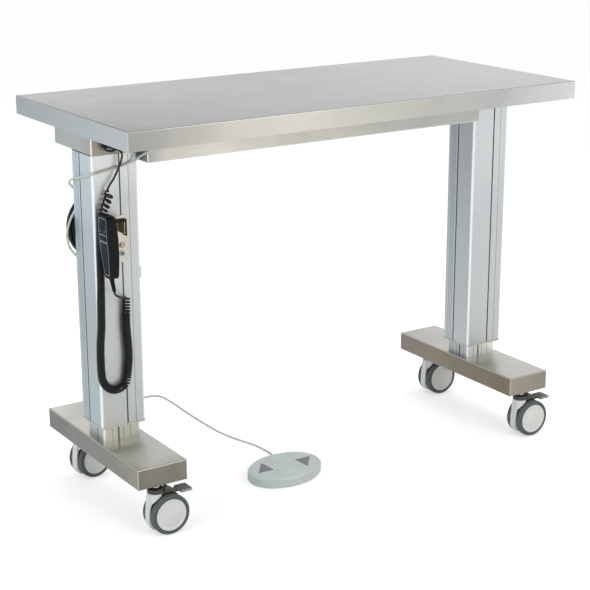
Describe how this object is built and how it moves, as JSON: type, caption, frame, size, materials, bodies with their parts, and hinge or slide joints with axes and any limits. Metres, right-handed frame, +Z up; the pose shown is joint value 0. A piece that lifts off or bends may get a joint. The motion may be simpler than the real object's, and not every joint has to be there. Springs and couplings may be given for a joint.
{
  "type": "height adjustable instrument table",
  "caption": "Stainless instrument table on two motor lifted columns with feet on swivelling twin-wheel casters, a corded handset and a foot switch.",
  "frame": {"origin": "on the floor below the middle of the tabletop", "axes": "+X along the table to the right, +Y to the back, +Z up"},
  "size_m": [1.3, 0.6, 0.982],
  "materials": {
    "stainless_steel": "brushed stainless steel",
    "board": "chipboard, hidden",
    "anodised_aluminium": "clear anodised, satin",
    "bright_steel": "bright zinc",
    "dark_housing": "dark grey",
    "black_plastic": "black, satin",
    "beige_plastic": "beige glide plastic",
    "caster_plastic": "cream white",
    "tyre_rubber": "dark grey",
    "switch_plastic": "pale grey",
    "handset_face": "dark slate membrane",
    "key_face": "dark blue grey",
    "black_cord": "black",
    "grey_cord": "light grey"
  },
  "bodies": {
    "left_foot": {"left_foot_beam": "stainless_steel", "left_inner_column": "anodised_aluminium", "left_spindle_nut": "beige_plastic", "left_caster_stems": "bright_steel", "foot_switch_base": "switch_plastic", "foot_cord_drop": "grey_cord"},
    "tabletop": {"tabletop_sheet": "stainless_steel", "tabletop_core": "board", "cross_rail": "stainless_steel", "control_box": "black_plastic", "left_head_box": "stainless_steel", "right_head_box": "stainless_steel", "lift_motors": "dark_housing", "left_outer_column": "anodised_aluminium", "right_outer_column": "anodised_aluminium", "column_bushes": "beige_plastic", "handset_bracket": "stainless_steel", "bracket_screws": "bright_steel", "cable_glands": "black_plastic", "cable_hook": "stainless_steel", "motor_cables": "black_cord", "handset_cord": "black_cord", "mains_lead": "black_cord", "mains_coil": "black_cord", "mains_plug": "black_plastic", "foot_cord_top": "grey_cord"},
    "right_foot": {"right_foot_beam": "stainless_steel", "right_inner_column": "anodised_aluminium", "right_spindle_nut": "beige_plastic", "right_caster_stems": "bright_steel"},
    "left_spindle": {"left_spindle": "bright_steel"},
    "right_spindle": {"right_spindle": "bright_steel"},
    "handset": {"handset_front": "handset_face", "handset_back": "black_plastic"},
    "handset_up_key": {"handset_up_key": "key_face"},
    "handset_down_key": {"handset_down_key": "key_face"},
    "foot_switch_up_pad": {"foot_switch_up_pad": "switch_plastic"},
    "foot_switch_down_pad": {"foot_switch_down_pad": "switch_plastic"},
    "front_left_caster": {"front_left_housing": "caster_plastic"},
    "front_left_wheel_a": {"front_left_hub_a": "caster_plastic", "front_left_tyre_a": "tyre_rubber"},
    "front_left_wheel_b": {"front_left_hub_b": "caster_plastic", "front_left_tyre_b": "tyre_rubber"},
    "front_left_pedal": {"front_left_brake_pedal": "black_plastic"},
    "back_left_caster": {"back_left_housing": "caster_plastic"},
    "back_left_wheel_a": {"back_left_hub_a": "caster_plastic", "back_left_tyre_a": "tyre_rubber"},
    "back_left_wheel_b": {"back_left_hub_b": "caster_plastic", "back_left_tyre_b": "tyre_rubber"},
    "front_right_caster": {"front_right_housing": "caster_plastic"},
    "front_right_wheel_a": {"front_right_hub_a": "caster_plastic", "front_right_tyre_a": "tyre_rubber"},
    "front_right_wheel_b": {"front_right_hub_b": "caster_plastic", "front_right_tyre_b": "tyre_rubber"},
    "front_right_pedal": {"front_right_brake_pedal": "black_plastic"},
    "back_right_caster": {"back_right_housing": "caster_plastic"},
    "back_right_wheel_a": {"back_right_hub_a": "caster_plastic", "back_right_tyre_a": "tyre_rubber"},
    "back_right_wheel_b": {"back_right_hub_b": "caster_plastic", "back_right_tyre_b": "tyre_rubber"}
  },
  "joints": [
    {"name": "table_lift", "type": "slide", "parent": "left_foot", "child": "tabletop", "axis": [0, 0, 1], "range_m": [0, 0.4], "deforming": ["foot_cord_drop"]},
    {"name": "right_foot_slide", "type": "slide", "parent": "tabletop", "child": "right_foot", "axis": [0, 0, -1], "range_m": [0, 0.4]},
    {"name": "handset_lift_off", "type": "slide", "parent": "tabletop", "child": "handset", "axis": [0, 0, 1], "range_m": [0, 0.045], "deforming": ["handset_cord"]},
    {"name": "left_spindle_turn", "type": "hinge", "parent": "tabletop", "child": "left_spindle", "pos_m": [-0.568, -0.013, 0.88], "axis": [0, 0, 1], "range_deg": [0, 12010]},
    {"name": "right_spindle_turn", "type": "hinge", "parent": "tabletop", "child": "right_spindle", "pos_m": [0.568, -0.013, 0.88], "axis": [0, 0, 1], "range_deg": [0, 12010]},
    {"name": "handset_up_press", "type": "slide", "parent": "handset", "child": "handset_up_key", "axis": [1, 0, 0], "range_m": [0, 0.0008], "stiffness_N_per_m": 1500},
    {"name": "foot_up_press", "type": "slide", "parent": "left_foot", "child": "foot_switch_up_pad", "axis": [0, 0, -1], "range_m": [0, 0.0025], "stiffness_N_per_m": 4000, "springref_m": -0.0008},
    {"name": "handset_down_press", "type": "slide", "parent": "handset", "child": "handset_down_key", "axis": [1, 0, 0], "range_m": [0, 0.0008], "stiffness_N_per_m": 1500},
    {"name": "foot_down_press", "type": "slide", "parent": "left_foot", "child": "foot_switch_down_pad", "axis": [0, 0, -1], "range_m": [0, 0.0025], "stiffness_N_per_m": 4000, "springref_m": -0.0008},
    {"name": "front_left_swivel", "type": "hinge", "parent": "left_foot", "child": "front_left_caster", "pos_m": [-0.58, -0.242, 0.118], "axis": [0, 0, 1], "continuous": true},
    {"name": "front_left_wheel_a_roll", "type": "hinge", "parent": "front_left_caster", "child": "front_left_wheel_a", "pos_m": [-0.552, -0.242, 0.05], "axis": [0, 1, 0], "continuous": true},
    {"name": "front_left_wheel_b_roll", "type": "hinge", "parent": "front_left_caster", "child": "front_left_wheel_b", "pos_m": [-0.552, -0.242, 0.05], "axis": [0, 1, 0], "continuous": true},
    {"name": "front_left_brake", "type": "hinge", "parent": "front_left_caster", "child": "front_left_pedal", "pos_m": [-0.554, -0.242, 0.098], "axis": [0, 1, 0], "range_deg": [0, 8]},
    {"name": "back_left_swivel", "type": "hinge", "parent": "left_foot", "child": "back_left_caster", "pos_m": [-0.58, 0.16, 0.118], "axis": [0, 0, 1], "continuous": true},
    {"name": "back_left_wheel_a_roll", "type": "hinge", "parent": "back_left_caster", "child": "back_left_wheel_a", "pos_m": [-0.55243, 0.16486, 0.05], "axis": [-0.1736, 0.9848, 0], "continuous": true},
    {"name": "back_left_wheel_b_roll", "type": "hinge", "parent": "back_left_caster", "child": "back_left_wheel_b", "pos_m": [-0.55243, 0.16486, 0.05], "axis": [-0.1736, 0.9848, 0], "continuous": true},
    {"name": "front_right_swivel", "type": "hinge", "parent": "right_foot", "child": "front_right_caster", "pos_m": [0.556, -0.242, 0.118], "axis": [0, 0, 1], "continuous": true},
    {"name": "front_right_wheel_a_roll", "type": "hinge", "parent": "front_right_caster", "child": "front_right_wheel_a", "pos_m": [0.584, -0.242, 0.05], "axis": [0, 1, 0], "continuous": true},
    {"name": "front_right_wheel_b_roll", "type": "hinge", "parent": "front_right_caster", "child": "front_right_wheel_b", "pos_m": [0.584, -0.242, 0.05], "axis": [0, 1, 0], "continuous": true},
    {"name": "front_right_brake", "type": "hinge", "parent": "front_right_caster", "child": "front_right_pedal", "pos_m": [0.582, -0.242, 0.098], "axis": [0, 1, 0], "range_deg": [0, 8]},
    {"name": "back_right_swivel", "type": "hinge", "parent": "right_foot", "child": "back_right_caster", "pos_m": [0.556, 0.16, 0.118], "axis": [0, 0, 1], "continuous": true},
    {"name": "back_right_wheel_a_roll", "type": "hinge", "parent": "back_right_caster", "child": "back_right_wheel_a", "pos_m": [0.584, 0.16, 0.05], "axis": [0, 1, 0], "continuous": true},
    {"name": "back_right_wheel_b_roll", "type": "hinge", "parent": "back_right_caster", "child": "back_right_wheel_b", "pos_m": [0.584, 0.16, 0.05], "axis": [0, 1, 0], "continuous": true}
  ],
  "couplings": [
    {"joint": "right_foot_slide", "follows": "table_lift", "ratio": 1},
    {"joint": "left_spindle_turn", "follows": "table_lift", "rad_per_m": 523.6},
    {"joint": "right_spindle_turn", "follows": "table_lift", "rad_per_m": 523.6}
  ]
}
